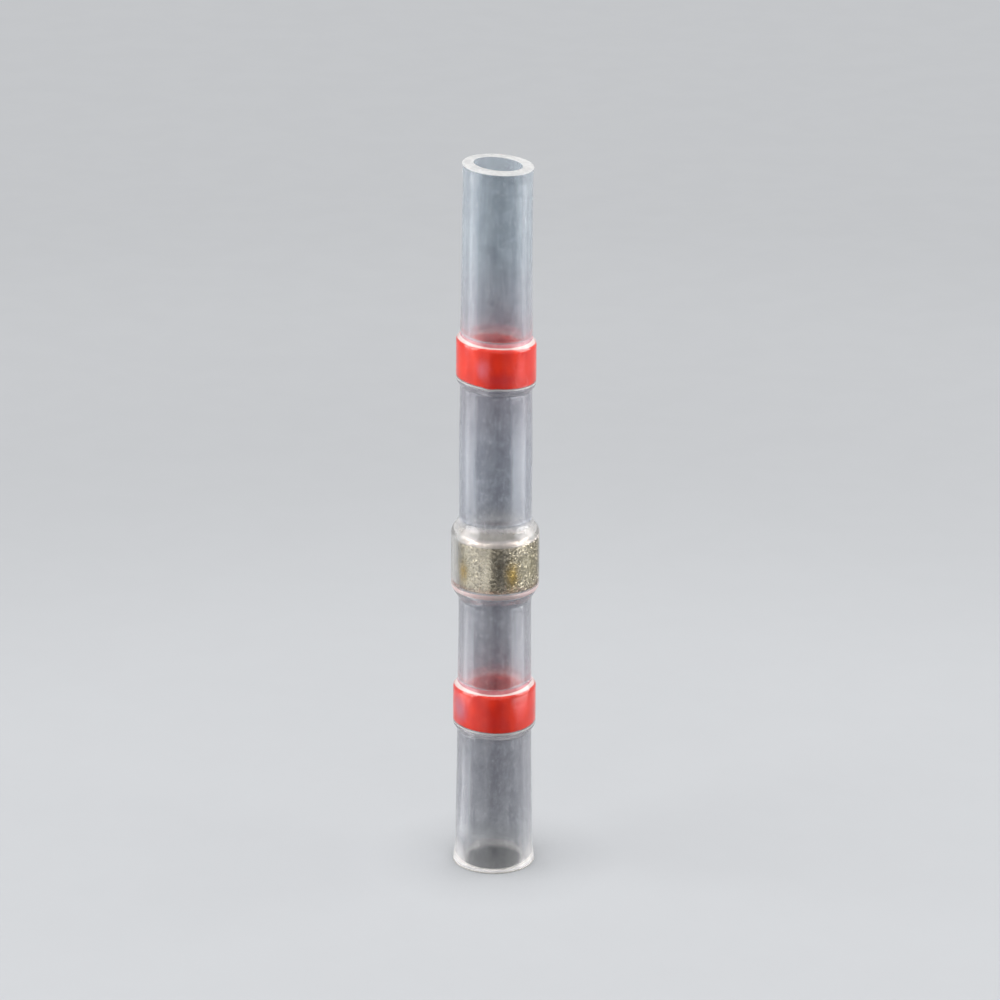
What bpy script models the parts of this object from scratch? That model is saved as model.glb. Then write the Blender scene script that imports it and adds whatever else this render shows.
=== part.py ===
"""Solder seal wire connector, a see-through sleeve that holds three rings.

The sleeve is a tube shrunk part of the way over a ring of low-melting solder and two
coloured rings of melting adhesive. Two stripped wires go in from its ends and meet inside
the solder ring. It stands on its foot, with its bore along +Z and the origin at the
middle of the foot. All lengths are in metres.
"""
import math
from dataclasses import dataclass

import bpy

# Sleeve
BORE_AT_RIM = 0.00262  # inside diameter at the upper end
BORE_AT_FOOT = 0.00320  # inside diameter at the lower end
WALL_AT_RIM = 0.00056  # wall at the upper end
RIM_FLARE = 0.00004  # how far the cut upper edge stands out
RIM_FLARE_LENGTH = 0.0009
FOOT_FLARE = 0.00020  # how far the cut lower edge spreads under the cutter
FOOT_FLARE_LENGTH = 0.0014

# Stretches of open bore, from the foot up
FOOT_TAIL = 0.00829  # foot to lower seal ring
LOWER_SPAN = 0.00611  # lower seal ring to solder ring
UPPER_SPAN = 0.00877  # solder ring to upper seal ring
RIM_TAIL = 0.01001  # upper seal ring to rim

# Solder ring
SOLDER_LENGTH = 0.00288
SOLDER_WALL = 0.00050
SOLDER_EDGE = 0.00022  # radius of its cast edges
SOLDER_SHOULDER = 0.00100  # length over which the sleeve drops back beside it

# Seal rings
SEAL_LENGTH = 0.00207
SEAL_WALL = 0.00028
SEAL_EDGE = 0.00009  # radius of their moulded edges
SEAL_SHOULDER = 0.00050  # length over which the sleeve drops back beside them

SEAT_CLEARANCE = 0.00003  # between a ring and the pocket that the sleeve forms round it

# Fineness of the turned surfaces
SEGMENTS = 48
SHOULDER_STEPS = 4
FLARE_STEPS = 3
EDGE_STEPS = 2
HEIGHT_TOLERANCE = 0.00001  # outline points closer than this in height are one point
FILLET_SHARE = 0.45  # largest edge radius, as a share of the ring's wall

SLEEVE_LENGTH = (FOOT_TAIL + SEAL_LENGTH + LOWER_SPAN + SOLDER_LENGTH
                 + UPPER_SPAN + SEAL_LENGTH + RIM_TAIL)


def bore_radius(height):
    """Radius of the open bore, which narrows evenly from the foot to the rim."""
    share = height / SLEEVE_LENGTH
    return (BORE_AT_FOOT + (BORE_AT_RIM - BORE_AT_FOOT) * share) / 2


@dataclass(frozen=True)
class Ring:
    """A ring inside the sleeve, which sat on the same mandrel as the bore."""

    name: str
    base: float
    length: float
    wall: float
    edge: float
    shoulder: float

    @property
    def top(self):
        """Height of the ring's upper end."""
        return self.base + self.length

    @property
    def inner_radius(self):
        """Radius of the hole, flush with the bore at the middle of the ring."""
        return bore_radius(self.base + self.length / 2)

    @property
    def outer_radius(self):
        """Radius of the ring's outside."""
        return self.inner_radius + self.wall

    @property
    def seat_radius(self):
        """Radius of the pocket that the sleeve forms round the ring."""
        return self.outer_radius + SEAT_CLEARANCE

    @property
    def seat_ends(self):
        """Heights at which the pocket's two shoulders start."""
        return self.base - SEAT_CLEARANCE, self.top + SEAT_CLEARANCE

    def grip(self, height):
        """How fully the sleeve stands at the seat radius: 1 on the ring, 0 past a shoulder."""
        low, high = self.seat_ends
        away = max(low - height, height - high, 0.0)
        share = min(away / self.shoulder, 1.0)
        return (1 + math.cos(math.pi * share)) / 2


LOWER_SEAL = Ring("lower_seal_ring", FOOT_TAIL, SEAL_LENGTH, SEAL_WALL, SEAL_EDGE, SEAL_SHOULDER)
SOLDER = Ring("solder_ring", LOWER_SEAL.top + LOWER_SPAN, SOLDER_LENGTH, SOLDER_WALL,
              SOLDER_EDGE, SOLDER_SHOULDER)
UPPER_SEAL = Ring("upper_seal_ring", SOLDER.top + UPPER_SPAN, SEAL_LENGTH, SEAL_WALL,
                  SEAL_EDGE, SEAL_SHOULDER)
RINGS = (LOWER_SEAL, SOLDER, UPPER_SEAL)


def lining_radius(height):
    """Inside of the sleeve: the bore, opened into a draped pocket round each ring."""
    bore = bore_radius(height)
    return max(bore + (ring.seat_radius - bore) * ring.grip(height) for ring in RINGS)


def flare(height):
    """How far the sleeve's cut edges stand out at a height."""
    near_foot = max(1 - height / FOOT_FLARE_LENGTH, 0.0)
    near_rim = max(1 - (SLEEVE_LENGTH - height) / RIM_FLARE_LENGTH, 0.0)
    return FOOT_FLARE * near_foot ** 2 + RIM_FLARE * near_rim ** 2


def skin_radius(height):
    """Outside of the sleeve, which has one extruded section and so thins where it is wider."""
    rim_inner = BORE_AT_RIM / 2
    section = (rim_inner + WALL_AT_RIM) ** 2 - rim_inner ** 2
    return math.sqrt(lining_radius(height) ** 2 + section) + flare(height)


def spaced(start, end, steps):
    """Evenly spaced heights from start to end, with both of them."""
    return [start + (end - start) * step / steps for step in range(steps + 1)]


def shoulder_heights():
    """Heights at which the sleeve bends round the ends of its rings."""
    heights = []
    for ring in RINGS:
        low, high = ring.seat_ends
        heights += spaced(low - ring.shoulder, low, SHOULDER_STEPS)
        heights += spaced(high, high + ring.shoulder, SHOULDER_STEPS)
    return [height for height in heights if 0.0 < height < SLEEVE_LENGTH]


def distinct(heights):
    """Heights from the foot up, without any that all but repeats the one below it."""
    kept = []
    for height in sorted(heights):
        if not kept or height - kept[-1] > HEIGHT_TOLERANCE:
            kept.append(height)
    return kept


def sleeve_outline():
    """Closed outline of the sleeve's wall: down the skin, then back up the lining."""
    bends = shoulder_heights()
    foot = spaced(0.0, FOOT_FLARE_LENGTH, FLARE_STEPS)
    rim = spaced(SLEEVE_LENGTH - RIM_FLARE_LENGTH, SLEEVE_LENGTH, FLARE_STEPS)
    skin = distinct(foot + bends + rim)
    lining = distinct([0.0] + bends + [SLEEVE_LENGTH])
    outside = [(skin_radius(height), height) for height in reversed(skin)]
    inside = [(lining_radius(height), height) for height in lining]
    return outside + inside


def quarter_round(radius, centre, start):
    """Points of a clockwise quarter circle in the outline's plane.

    radius is the circle's, centre its middle as radius and height, start its first angle.
    """
    points = []
    for step in range(EDGE_STEPS + 1):
        angle = start - math.pi / 2 * step / EDGE_STEPS
        points.append((centre[0] + radius * math.cos(angle), centre[1] + radius * math.sin(angle)))
    return points


def ring_outline(ring):
    """Closed outline of a ring's wall with rounded edges, with the ring's base at height 0."""
    edge = min(ring.edge, ring.wall * FILLET_SHARE)
    outer = ring.outer_radius - edge
    inner = ring.inner_radius + edge
    high = ring.length - edge
    return (quarter_round(edge, (outer, high), math.pi / 2)
            + quarter_round(edge, (outer, edge), 0.0)
            + quarter_round(edge, (inner, edge), -math.pi / 2)
            + quarter_round(edge, (inner, high), math.pi))


def surface(name, colour, roughness, metallic, transmission=0.0, alpha=1.0):
    """A plain surface finish."""
    material = bpy.data.materials.new(name)
    material.use_nodes = True
    shader = material.node_tree.nodes["Principled BSDF"]
    shader.inputs["Base Color"].default_value = (*colour, 1.0)
    shader.inputs["Roughness"].default_value = roughness
    shader.inputs["Metallic"].default_value = metallic
    shader.inputs["Transmission Weight"].default_value = transmission
    shader.inputs["Alpha"].default_value = alpha
    material.diffuse_color = (*colour, alpha)
    return material


def turned(name, outline, base, material, parent):
    """Turn a closed outline of radii and heights round the bore's axis.

    base is the height of the piece's own origin, and parent the empty that carries it.
    """
    mesh = bpy.data.meshes.new(name)
    corners = [(radius, 0.0, height) for radius, height in outline]
    edges = [(index, (index + 1) % len(corners)) for index in range(len(corners))]
    mesh.from_pydata(corners, edges, [])
    mesh.materials.append(material)
    piece = bpy.data.objects.new(name, mesh)
    bpy.context.collection.objects.link(piece)
    piece.parent = parent
    piece.location = (0.0, 0.0, base)
    lathe = piece.modifiers.new("lathe", "SCREW")
    lathe.axis = "Z"
    lathe.angle = math.tau
    lathe.steps = SEGMENTS
    lathe.render_steps = SEGMENTS
    lathe.use_merge_vertices = False
    lathe.merge_threshold = 0.00001
    lathe.use_smooth_shade = True
    return piece


def main():
    """Build the connector in an empty scene."""
    for item in list(bpy.data.objects):
        bpy.data.objects.remove(item, do_unlink=True)

    connector = bpy.data.objects.new("connector", None)
    bpy.context.collection.objects.link(connector)

    clear = surface("milky_clear_polyolefin", (0.62, 0.66, 0.70), 0.30, 0.0, 0.7, 0.55)
    solder = surface("cast_solder", (0.58, 0.54, 0.46), 0.45, 1.0)
    red = surface("red_melt_adhesive", (0.72, 0.06, 0.04), 0.35, 0.0)

    turned("heat_shrink_sleeve", sleeve_outline(), 0.0, clear, connector)
    turned(SOLDER.name, ring_outline(SOLDER), SOLDER.base, solder, connector)
    for seal in (LOWER_SEAL, UPPER_SEAL):
        turned(seal.name, ring_outline(seal), seal.base, red, connector)


main()
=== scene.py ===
"""Finishes the solder seal wire connector and sets it up for its picture.

A milky see-through sleeve, shrunk part of the way, holds a grainy ring of solder and two
waxy red seal rings. Each piece is a turned mesh with its own small unevenness, in the frame
of the solids that it stands for. Lengths are in metres. Angles are in degrees where nothing
else is said, and an azimuth counts from the front to the right.
"""

import logging
import math
from dataclasses import dataclass
from enum import Enum
from typing import Protocol

import bpy
import numpy as np
from mathutils import Matrix, Vector


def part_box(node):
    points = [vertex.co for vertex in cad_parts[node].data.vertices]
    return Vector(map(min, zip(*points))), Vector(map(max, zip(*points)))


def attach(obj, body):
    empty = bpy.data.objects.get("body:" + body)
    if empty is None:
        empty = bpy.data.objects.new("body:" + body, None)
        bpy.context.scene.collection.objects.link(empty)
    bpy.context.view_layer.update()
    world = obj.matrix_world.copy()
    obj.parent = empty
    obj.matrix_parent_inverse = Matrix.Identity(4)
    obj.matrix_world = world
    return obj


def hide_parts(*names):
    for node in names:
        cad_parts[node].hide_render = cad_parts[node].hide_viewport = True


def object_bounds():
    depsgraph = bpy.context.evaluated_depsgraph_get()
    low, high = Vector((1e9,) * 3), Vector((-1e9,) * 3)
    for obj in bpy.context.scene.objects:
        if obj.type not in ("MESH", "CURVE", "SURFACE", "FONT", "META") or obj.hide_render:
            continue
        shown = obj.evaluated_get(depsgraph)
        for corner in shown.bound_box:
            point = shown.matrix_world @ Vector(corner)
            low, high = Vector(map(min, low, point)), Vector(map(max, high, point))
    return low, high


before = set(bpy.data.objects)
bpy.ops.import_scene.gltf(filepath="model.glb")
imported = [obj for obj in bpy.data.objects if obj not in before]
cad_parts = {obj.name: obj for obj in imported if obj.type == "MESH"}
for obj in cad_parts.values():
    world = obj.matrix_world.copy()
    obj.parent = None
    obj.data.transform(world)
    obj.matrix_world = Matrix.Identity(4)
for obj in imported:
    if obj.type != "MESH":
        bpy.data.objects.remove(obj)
CAD_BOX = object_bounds()

log = logging.getLogger("solder_seal_connector")

BODY = "root"
FULL_TURN = 2 * math.pi

Triple = tuple[float, float, float]
Colour = Triple
Array = np.ndarray
Socket = bpy.types.NodeSocket

BLACK: Colour = (0.0, 0.0, 0.0)
MOST_OF_NOISE = (0.3, 0.7)


class Slot(Enum):
    """The record's material slots."""

    SLEEVE = "sleeve"
    SOLDER = "solder"
    SEAL = "seal"


class Side(Enum):
    """Where a lamp stands, by its azimuth."""

    LEFT = -79.0
    RIGHT = 94.0
    FRONT = 0.0


def linear(code: str) -> Colour:
    """Turn a screen colour of six hexadecimal digits into shares of red, green and blue light."""
    shares = [int(code[start:start + 2], 16) / 255 for start in (0, 2, 4)]
    return tuple(s / 12.92 if s <= 0.04045 else ((s + 0.055) / 1.055) ** 2.4 for s in shares)


def dimmed(colour: Colour, share: float) -> Colour:
    """Take a share of a colour."""
    return tuple(share * part for part in colour)


@dataclass(frozen=True)
class Pattern:
    """A cloudy pattern that stays with the piece.

    Attributes:
        per_metre: how many clouds fit in a metre along each axis.
        detail: how many finer layers it has.
        roughness: how strong the finer layers are.
        seed: moves the pattern, in clouds.
    """

    per_metre: Triple
    detail: float = 2.0
    roughness: float = 0.5
    seed: float = 0.0


class ShaderTree:
    """The shader nodes of a material or of the world, with short ways to add and join them."""

    def __init__(self, owner: bpy.types.ID) -> None:
        """Start an empty tree.

        Args:
            owner: the material or the world.
        """
        owner.use_nodes = True
        self.tree = owner.node_tree
        self.tree.nodes.clear()

    def add(self, kind: str, inputs: dict | None = None, **settings: object) -> bpy.types.Node:
        """Add a node.

        Args:
            kind: the node's type.
            inputs: what each input gets, by the input's name or number.
            settings: its properties, by name.

        Returns:
            The new node.
        """
        node = self.tree.nodes.new(kind)
        for name, value in settings.items():
            setattr(node, name, value)
        for key, value in (inputs or {}).items():
            self.feed(node.inputs[key], value)
        return node

    def feed(self, socket: Socket, value: object) -> None:
        """Join an input to another node's output, or give it a plain value.

        Args:
            socket: the input.
            value: an output, a number, or three numbers.
        """
        if isinstance(value, Socket):
            self.tree.links.new(value, socket)
        elif socket.type == "RGBA" and isinstance(value, tuple):
            socket.default_value = (*value, 1.0)
        else:
            socket.default_value = value

    def reckon(self, operation: str, first: object, *others: object) -> Socket:
        """Work out a value from others, which are taken in one after the other.

        Args:
            operation: the Math node's operation.
            first: a number or an output.
            others: numbers or outputs.

        Returns:
            The result.
        """
        for other in others:
            first = self.add("ShaderNodeMath", {0: first, 1: other}, operation=operation).outputs[0]
        return first

    def merge(self, share: Socket, first: Socket, second: Socket) -> Socket:
        """Mix two shaders, by how much of the second shows."""
        return self.add("ShaderNodeMixShader", {0: share, 1: first, 2: second}).outputs[0]

    def seen(self) -> Socket:
        """Tell the rays that see the pale surroundings from those that only light the piece."""
        rays = self.add("ShaderNodeLightPath").outputs
        kinds = ("Is Camera Ray", "Is Glossy Ray", "Is Transmission Ray")
        return self.reckon("MAXIMUM", *(rays[kind] for kind in kinds))


class NodeSheet(ShaderTree):
    """The shader nodes of one new material, which also know the places on its piece."""

    def __init__(self, name: str) -> None:
        """Start an empty sheet.

        Args:
            name: the material's name.
        """
        self.material = bpy.data.materials.new(name)
        super().__init__(self.material)
        self.place = self.add("ShaderNodeTexCoord").outputs["Object"]
        self.across, self.back, self.height = self.add("ShaderNodeSeparateXYZ", {0: self.place}).outputs

    def noise(self, pattern: Pattern) -> Socket:
        """Add a cloudy pattern.

        Args:
            pattern: its size, its layers and its seed.

        Returns:
            A value from 0 to 1.
        """
        mapping = self.add("ShaderNodeMapping", {
            "Vector": self.place, "Scale": pattern.per_metre, "Location": (pattern.seed,) * 3})
        texture = self.add("ShaderNodeTexNoise", {
            "Vector": mapping.outputs[0], "Scale": 1.0,
            "Detail": pattern.detail, "Roughness": pattern.roughness})
        return texture.outputs["Fac"]

    def vector(self, operation: str, *terms: object, output: str = "Vector") -> Socket:
        """Work out a vector, or its "Value", from outputs and from three numbers each."""
        node = self.add("ShaderNodeVectorMath", dict(enumerate(terms)), operation=operation)
        return node.outputs[output]

    def facets(self, per_metre: float, tilt: float) -> Socket:
        """Break a surface up into small facets, each with a tilt of its own.

        Args:
            per_metre: how many facets fit in a metre.
            tilt: how far a facet may tilt, as a share of the normal.

        Returns:
            The new normal.
        """
        cells = self.add("ShaderNodeTexVoronoi", {"Vector": self.place, "Scale": per_metre})
        centred = self.vector("SUBTRACT", cells.outputs["Color"], (0.5, 0.5, 0.5))
        scaled = self.vector("MULTIPLY", centred, (2 * tilt,) * 3)
        normal = self.add("ShaderNodeNewGeometry").outputs["Normal"]
        return self.vector("NORMALIZE", self.vector("ADD", normal, scaled))

    def by_height(self, stops: "tuple[Cast, ...]", tallest: float = 0.040) -> Socket:
        """Pick a colour by how high up a place is.

        Args:
            stops: the colours, from the lowest up.
            tallest: the height at which the last one may stand.

        Returns:
            The colour.
        """
        ramp = self.add("ShaderNodeValToRGB", {0: self.reckon("DIVIDE", self.height, tallest)})
        ramp.color_ramp.interpolation = "EASE"
        elements = ramp.color_ramp.elements
        while len(elements) < len(stops):
            elements.new(1.0)
        for element, stop in zip(elements, stops):
            element.position = stop.height / tallest
            element.color = (*stop.colour, 1.0)
        return ramp.outputs[0]

    def span(self, value: Socket, start: float, end: float,
             low: float = 0.0, high: float = 1.0) -> Socket:
        """Stretch a value smoothly, so that it gives low up to start and high from end on."""
        ends = {"Value": value, "From Min": start, "From Max": end, "To Min": low, "To Max": high}
        return self.add("ShaderNodeMapRange", ends, interpolation_type="SMOOTHSTEP").outputs["Result"]

    def blend(self, share: object, first: object, second: object, way: str = "MIX") -> Socket:
        """Mix two colours in one of the Mix node's ways, by how much of the second shows."""
        colours = {0: share, 6: first, 7: second}
        return self.add("ShaderNodeMix", colours, data_type="RGBA", blend_type=way).outputs[2]

    def away_from(self, middle: Triple = (0.0, 0.0, 0.0), reach: Triple = (1.0, 1.0, 1.0)) -> Socket:
        """Measure how far a place is from a point, where reach counts as 1 along each axis."""
        share = self.vector("DIVIDE", self.vector("SUBTRACT", self.place, middle), reach)
        return self.vector("LENGTH", share, output="Value")

    def bump(self, height: Socket, depth: float, **under: Socket) -> Socket:
        """Roughen a surface's shading by a relief, over an earlier Normal if one is given."""
        node = self.add("ShaderNodeBump", {"Distance": depth, "Height": height, **under})
        return node.outputs["Normal"]

    def principled(self, **values: object) -> Socket:
        """Add the surface shader, its inputs named with underscores for spaces."""
        inputs = {name.replace("_", " "): value for name, value in values.items()}
        return self.add("ShaderNodeBsdfPrincipled", inputs).outputs[0]

    def clear(self, tint: Colour = (1.0, 1.0, 1.0)) -> Socket:
        """Add a shader that lets light straight through, in a tint."""
        return self.add("ShaderNodeBsdfTransparent", {"Color": tint}).outputs[0]

    def finish(self, shader: Socket) -> bpy.types.Material:
        """Join the last shader to the sheet's output, for the finished material."""
        self.add("ShaderNodeOutputMaterial", {"Surface": shader})
        return self.material


class Finish(Protocol):
    """Anything that can build a material."""

    def material(self) -> bpy.types.Material:
        """Build the material."""


@dataclass(frozen=True)
class Cast:
    """The colour that the sleeve takes on at a height, as a share of its own: the plastic's tone, and
    in places painted light.

    Attributes:
        height: the height.
        colour: the shares of red, green and blue.
    """

    height: float
    colour: Colour


# The sleeve's tone from the foot up, with a painted red glow of the seal rings' light just above each
# ring.
SLEEVE_TONE_AND_RED_GLOW_CASTS = (
    Cast(0.0003, (0.84, 0.82, 0.795)),
    Cast(0.0018, (0.74, 0.73, 0.725)),
    Cast(0.0036, (0.625, 0.615, 0.625)),
    Cast(0.0080, (0.62, 0.61, 0.625)),
    # painted red glow above the lower seal ring
    Cast(0.0106, (0.69, 0.615, 0.635)),
    Cast(0.0128, (0.635, 0.62, 0.635)),
    Cast(0.0230, (0.615, 0.622, 0.65)),
    Cast(0.0278, (0.66, 0.64, 0.665)),
    # painted red glow above the upper seal ring
    Cast(0.0304, (0.73, 0.65, 0.67)),
    Cast(0.0326, (0.70, 0.705, 0.725)),
    Cast(0.0360, (0.705, 0.745, 0.765)),
)
DOME_CASTS = (Cast(0.0195, (1.0, 1.0, 1.0)), Cast(0.0203, (0.80, 0.80, 0.81)))
CUT_CASTS = (Cast(0.0, (1.0, 0.975, 0.945)), Cast(0.04, (1.0, 1.0, 1.0)))


@dataclass(frozen=True)
class Polyolefin:
    """A face of the sleeve's wall: see-through, more or less milky, streaked along the extrusion.

    Attributes:
        name: the material's name.
        clear: colour of the clearer streaks.
        milk: colour of the milkier streaks.
        roughness: how much it blurs.
        see_through: share of the light that goes on through.
        casts: how its colour changes from the foot up.
        specks: how much its fine white specks show.
        relief: depth of its streaks.
        streak_length: how many times longer than wide a streak is.
        streaks_per_metre: how many streaks fit in a metre.
        clouds: its cloudy patches.
        speckle: its specks.
        speck_colour: their colour.
        lamp_tint: colour of lamp light behind the face.
        refraction: its refractive index.
    """

    name: str
    clear: Colour
    milk: Colour
    roughness: float
    see_through: float
    casts: tuple[Cast, ...] = ()
    specks: float = 0.0
    relief: float = 0.000005
    streak_length: float = 22.0
    streaks_per_metre: float = 4200.0
    clouds: Pattern = Pattern((1300.0,) * 3, 3.0, 0.6, 3.7)
    speckle: Pattern = Pattern((9500.0, 9500.0, 7000.0), 1.0, 0.5, 5.1)
    speck_colour: Colour = (0.92, 0.93, 0.95)
    lamp_tint: Colour = (0.97, 0.97, 0.975)
    refraction: float = 1.49

    def material(self) -> bpy.types.Material:
        """Build the material, which also lets lamps shine through onto what the wall holds."""
        sheet = NodeSheet(self.name)
        fine = self.streaks_per_metre
        streaks = sheet.noise(Pattern((fine, fine, fine / self.streak_length)))
        clouds = sheet.noise(self.clouds)
        relief = sheet.reckon("ADD", streaks, clouds)
        colour = sheet.blend(sheet.span(relief, 0.78, 1.22), self.clear, self.milk)
        if self.casts:
            colour = sheet.blend(1.0, colour, sheet.by_height(self.casts), "MULTIPLY")
        if self.specks:
            specks = sheet.noise(self.speckle)
            share = sheet.span(specks, 0.55, 0.72, 0.0, self.specks)
            colour = sheet.blend(share, colour, self.speck_colour)
            relief = sheet.reckon("ADD", relief, specks)
        shader = sheet.principled(
            Base_Color=colour,
            Roughness=sheet.span(clouds, *MOST_OF_NOISE, self.roughness - 0.03, self.roughness + 0.04),
            IOR=self.refraction,
            Transmission_Weight=self.see_through,
            Normal=sheet.bump(relief, self.relief),
        )
        lamp_light = sheet.add("ShaderNodeLightPath").outputs["Is Shadow Ray"]
        return sheet.finish(sheet.merge(lamp_light, shader, sheet.clear(self.lamp_tint)))


class WallFace(Enum):
    """The faces of the sleeve's wall, by where they are and what they touch."""

    FREE_SKIN = Polyolefin("milky_skin", linear("D6D9DF"), linear("F1F4F7"), 0.16, 0.77,
                           SLEEVE_TONE_AND_RED_GLOW_CASTS, specks=0.9)
    HELD_SKIN = Polyolefin("clear_skin", linear("F4F1EA"), linear("FBF9F4"), 0.10, 0.985)
    # White line at each seal ring's edges: partly stress whitening, partly a painted highlight of the
    # bend.
    WHITENED_AND_PAINTED_HIGHLIGHT_SKIN = Polyolefin("stress_whitened_skin_and_painted_highlight", linear("EEEAE6"), linear("FAF7F3"), 0.16, 0.30)
    HAZY_SKIN = Polyolefin("hazy_bent_skin", linear("BCB9C0"), linear("CCC9D0"), 0.20, 0.72)
    # Pink skin just above each seal ring: a painted red glow of the ring's light in the bent wall.
    PAINTED_RED_GLOW_SKIN = Polyolefin("painted_red_glow_bent_skin", linear("F0A4AC"), linear("F8BCC2"), 0.22, 0.64)
    DOMED_SKIN = Polyolefin("hazy_domed_skin", linear("E4E3E1"), linear("F4F2EF"), 0.16, 0.70,
                            DOME_CASTS)
    # A thin, nearly opaque pale pink band of skin just below the solder.
    PINK_BAND_SKIN = Polyolefin("pale_pink_band_skin", linear("F4D2D0"), linear("FAE2DE"), 0.16, 0.08)
    FREE_LINING = Polyolefin("milky_lining", linear("D8DBE0"), linear("EAEDF1"), 0.22, 0.94,
                             SLEEVE_TONE_AND_RED_GLOW_CASTS)
    HELD_LINING = Polyolefin("clear_lining", linear("F2F0EA"), linear("F9F7F2"), 0.10, 0.985)
    CUT = Polyolefin("cut_polyolefin", linear("DEDCDA"), linear("F4F2EF"), 0.40, 0.30, CUT_CASTS,
                     relief=0.00002, streak_length=1.0)
    STANDING_CUT = Polyolefin("shaded_standing_cut", linear("BEBBB8"), linear("D4D1CE"), 0.40, 0.30,
                              relief=0.00002, streak_length=1.0)


@dataclass(frozen=True)
class Patch:
    """A patch of another colour on a ring, with a soft and ragged edge.

    Attributes:
        colour: its colour.
        azimuth: where it is.
        height: how high its middle is.
        half_width: half its width.
        half_height: half its height.
        strength: how much of it shows.
        rags_per_metre: how many rags fit in a metre along its edge.
        fade: where it starts and stops fading, in half widths and with the rags counted in.
    """

    colour: Colour
    azimuth: float
    height: float
    half_width: float
    half_height: float
    strength: float
    rags_per_metre: float = 1900.0
    fade: tuple[float, float] = (0.5, 2.1)

    def mask(self, sheet: NodeSheet, radius: float) -> Socket:
        """Work out where the patch shows.

        Args:
            sheet: the material's nodes.
            radius: the ring's radius.

        Returns:
            A value from 0 outside the patch to its strength inside.
        """
        turn = math.radians(self.azimuth)
        middle = (radius * math.sin(turn), -radius * math.cos(turn), self.height)
        reach = (self.half_width, self.half_width, self.half_height)
        ragged = sheet.noise(Pattern((self.rags_per_metre,) * 3, 3.0, 0.65, self.azimuth))
        away = sheet.reckon("ADD", sheet.away_from(middle, reach), ragged)
        return sheet.span(away, *self.fade, self.strength, 0.0)


@dataclass(frozen=True)
class MeltAdhesive:
    """The seal rings' waxy red adhesive.

    Attributes:
        name: the material's name.
        radius: the ring's radius.
        patches: patches of other colours on it: painted highlights, and darker red patches.
        red: its main colour.
        deep: colour of its denser clouds.
        roughness: how waxy its shine is.
        scatter: how far red, green and blue light travel in it.
        clouds: its denser clouds.
        grain: its fine grain.
        relief: depth of both.
    """

    name: str
    radius: float
    patches: tuple[Patch, ...]
    red: Colour = linear("CE2A0C")
    deep: Colour = linear("BE1E08")
    roughness: float = 0.40
    scatter: Triple = (0.0006, 0.00012, 0.00008)
    clouds: Pattern = Pattern((1500.0, 1500.0, 900.0), 3.0, 0.55, 1.3)
    grain: Pattern = Pattern((7000.0,) * 3)
    relief: float = 0.000012

    def material(self) -> bpy.types.Material:
        """Build the material."""
        sheet = NodeSheet(self.name)
        clouds = sheet.noise(self.clouds)
        grain = sheet.noise(self.grain)
        colour = sheet.blend(sheet.span(clouds, 0.35, 0.65), self.red, self.deep)
        for patch in self.patches:
            colour = sheet.blend(patch.mask(sheet, self.radius), colour, patch.colour)
        return sheet.finish(sheet.principled(
            Base_Color=colour,
            Roughness=sheet.span(grain, *MOST_OF_NOISE, self.roughness - 0.06, self.roughness + 0.08),
            Specular_IOR_Level=0.12,
            Subsurface_Weight=0.12,
            Subsurface_Radius=self.scatter,
            Subsurface_Scale=1.0,
            Normal=sheet.bump(sheet.reckon("ADD", clouds, grain), self.relief),
        ))


@dataclass(frozen=True)
class CastSolder:
    """The solder ring's fine-grained cast metal, with amber flux dried on it, and with painted shade, a
    painted dark reflection and a painted highlight.

    Attributes:
        radius: the ring's radius.
        top: height of its upper face.
        patches: where flux has dried on it, and where shade, a dark reflection and a highlight are
            painted on.
        name: the material's name.
        silver: the metal's colour.
        dull: colour of its oxidised grains.
        rosy: colour of its upper face.
        rosy_reach: how far below that face the colour starts and is full.
        roughness: how dull the metal is.
        mottle: its oxidised grains.
        relief: their depth.
        grains_per_metre: how many bright grains fit in a metre.
        tilt: how far a bright grain may tilt, as a share of the normal.
    """

    radius: float
    top: float
    patches: tuple[Patch, ...]
    name: str = "cast_solder"
    silver: Colour = linear("EBE2CF")
    dull: Colour = linear("7F7868")
    rosy: Colour = linear("DCCFCA")
    rosy_reach: tuple[float, float] = (0.00026, 0.00012)
    roughness: float = 0.24
    mottle: Pattern = Pattern((8500.0,) * 3, 4.0, 0.75)
    relief: float = 0.000006
    grains_per_metre: float = 14000.0
    tilt: float = 0.26

    def material(self) -> bpy.types.Material:
        """Build the material."""
        sheet = NodeSheet(self.name)
        mottle = sheet.noise(self.mottle)
        metal = sheet.blend(sheet.span(mottle, 0.38, 0.62), self.silver, self.dull)
        near_top = sheet.span(sheet.height, *(self.top - below for below in self.rosy_reach))
        metal = sheet.blend(near_top, metal, self.rosy)
        # Mask of every patch, the amber flux and the painted shade, reflection and highlight alike,
        # which all make the metal less metallic.
        flux = 0.0
        for patch in self.patches:
            mask = patch.mask(sheet, self.radius)
            metal = sheet.blend(mask, metal, patch.colour)
            flux = sheet.reckon("MAXIMUM", flux, mask)
        grains = sheet.facets(self.grains_per_metre, self.tilt)
        return sheet.finish(sheet.principled(
            Base_Color=metal,
            Metallic=sheet.span(flux, 0.0, 1.0, 1.0, 0.5),
            Roughness=sheet.span(mottle, *MOST_OF_NOISE, self.roughness - 0.06, self.roughness + 0.14),
            Normal=sheet.bump(mottle, self.relief, Normal=grains),
        ))


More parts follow.
